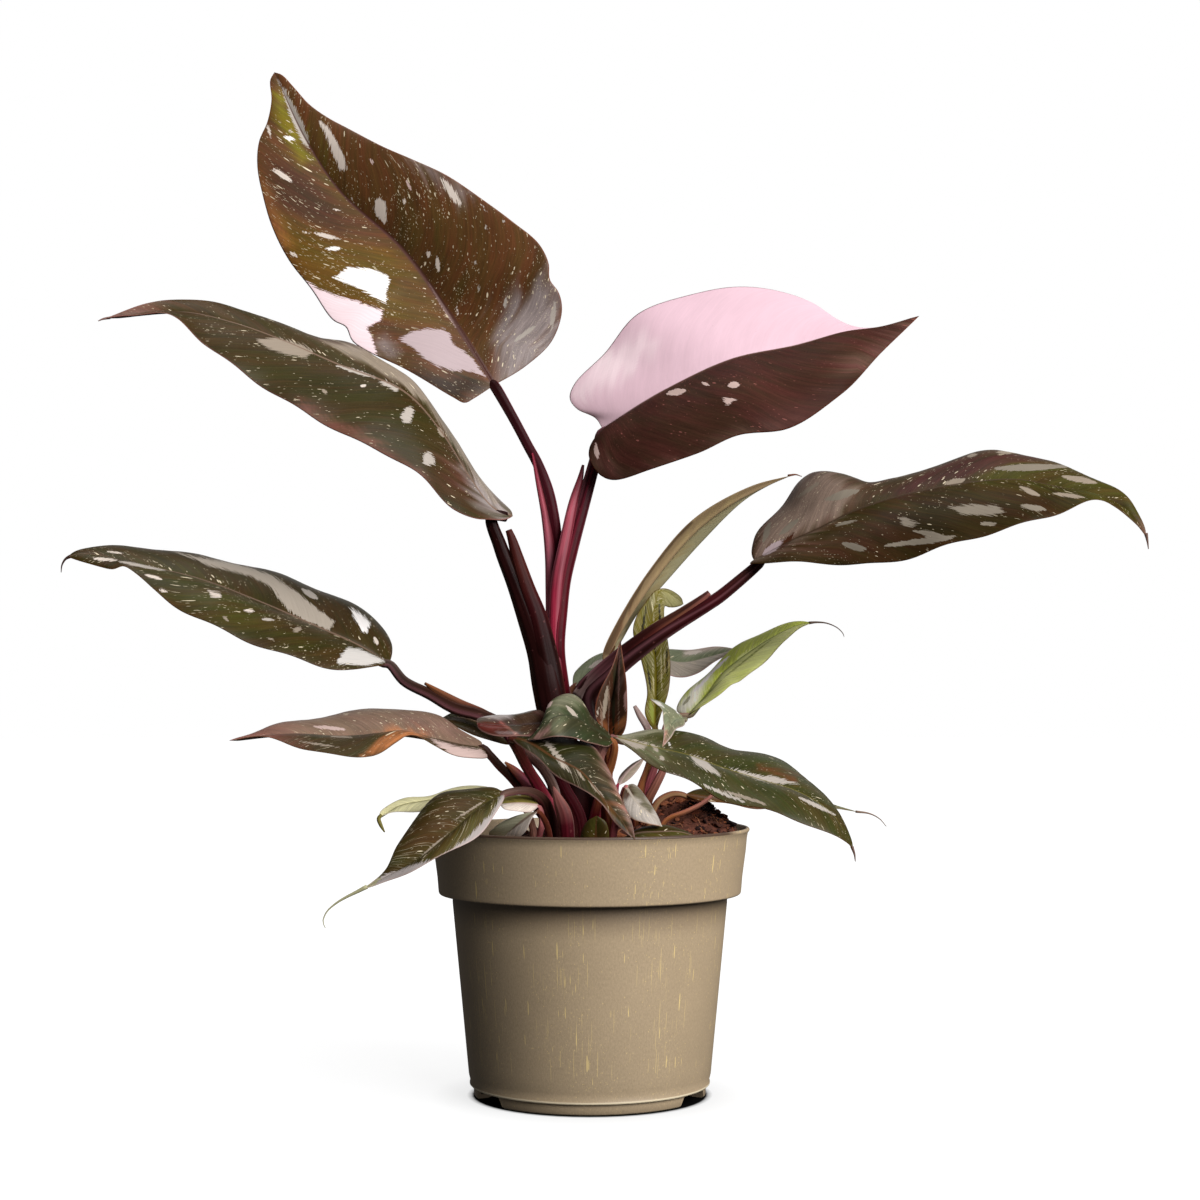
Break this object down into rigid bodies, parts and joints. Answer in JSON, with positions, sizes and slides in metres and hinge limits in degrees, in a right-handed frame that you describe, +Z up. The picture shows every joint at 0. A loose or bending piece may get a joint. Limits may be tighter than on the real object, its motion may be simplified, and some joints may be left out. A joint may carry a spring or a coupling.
{
  "type": "potted philodendron plant",
  "caption": "Potted philodendron with dark, pink and white splashed leaves on crimson stalks, standing in a round stepped plastic nursery pot filled with bark mix.",
  "frame": {"origin": "middle of the pot's underside, on the surface that the pot stands on", "axes": "+Z up along the pot's axis, -Y towards the front of the plant, +X to the right seen from the front"},
  "size_m": [0.3922, 0.1401, 0.3991],
  "materials": {
    "pot": "satin recycled plastic with fine cream specks and streaks",
    "soil": "loose bark chips and coir fibre, matt",
    "leaf_dark": "glossy brown-maroon leaf with cream and pink splashes",
    "leaf_green": "glossy olive leaf with cream and grey splashes",
    "leaf_pale": "satin pale pink and white leaf",
    "stalk": "smooth crimson to dark maroon stalk"
  },
  "bodies": {
    "root": {"pot": "pot", "soil": "soil", "main_stem": "stalk", "bud": "stalk", "stalk_top": "stalk", "stalk_pink": "stalk", "stalk_high_left": "stalk", "stalk_high_right": "stalk", "stalk_mid_left": "stalk", "stalk_low_left": "stalk", "stalk_over_rim": "stalk", "stalk_pale_left": "stalk", "stalk_front_hanging": "stalk", "stalk_arched": "stalk", "stalk_curled": "stalk", "stalk_low_right": "stalk", "stalk_spear": "stalk", "stalk_strap": "stalk", "stalk_green_fold": "stalk", "stalk_back_grey": "stalk", "stalk_bright_green": "stalk", "stalk_small_drooping": "stalk", "stalk_white_low": "stalk", "stalk_behind_right": "stalk", "stalk_bent": "stalk", "stalk_small_left": "stalk", "stalk_white_left": "stalk", "stalk_speckled_back": "stalk", "stalk_tiny_grey": "stalk", "leaf_top": "leaf_dark", "leaf_pink": "leaf_pale", "leaf_high_left": "leaf_dark", "leaf_mid_left": "leaf_green", "leaf_high_right": "leaf_dark", "leaf_low_left": "leaf_dark", "leaf_low_right": "leaf_green", "leaf_over_rim": "leaf_dark", "leaf_pale_left": "leaf_green", "leaf_front_hanging": "leaf_green", "leaf_curled": "leaf_dark", "leaf_arched": "leaf_green", "leaf_spear": "leaf_dark", "leaf_strap": "leaf_green", "leaf_green_fold": "leaf_green", "leaf_back_grey": "leaf_green", "leaf_bright_green": "leaf_green", "leaf_small_drooping": "leaf_green", "leaf_white_low": "leaf_pale", "leaf_behind_right": "leaf_dark", "leaf_rim_front": "leaf_green", "leaf_dark_stub": "leaf_dark", "leaf_white_left": "leaf_pale", "leaf_small_left": "leaf_green", "leaf_speckled_back": "leaf_green", "leaf_tiny_grey": "leaf_green"}
  },
  "joints": []
}
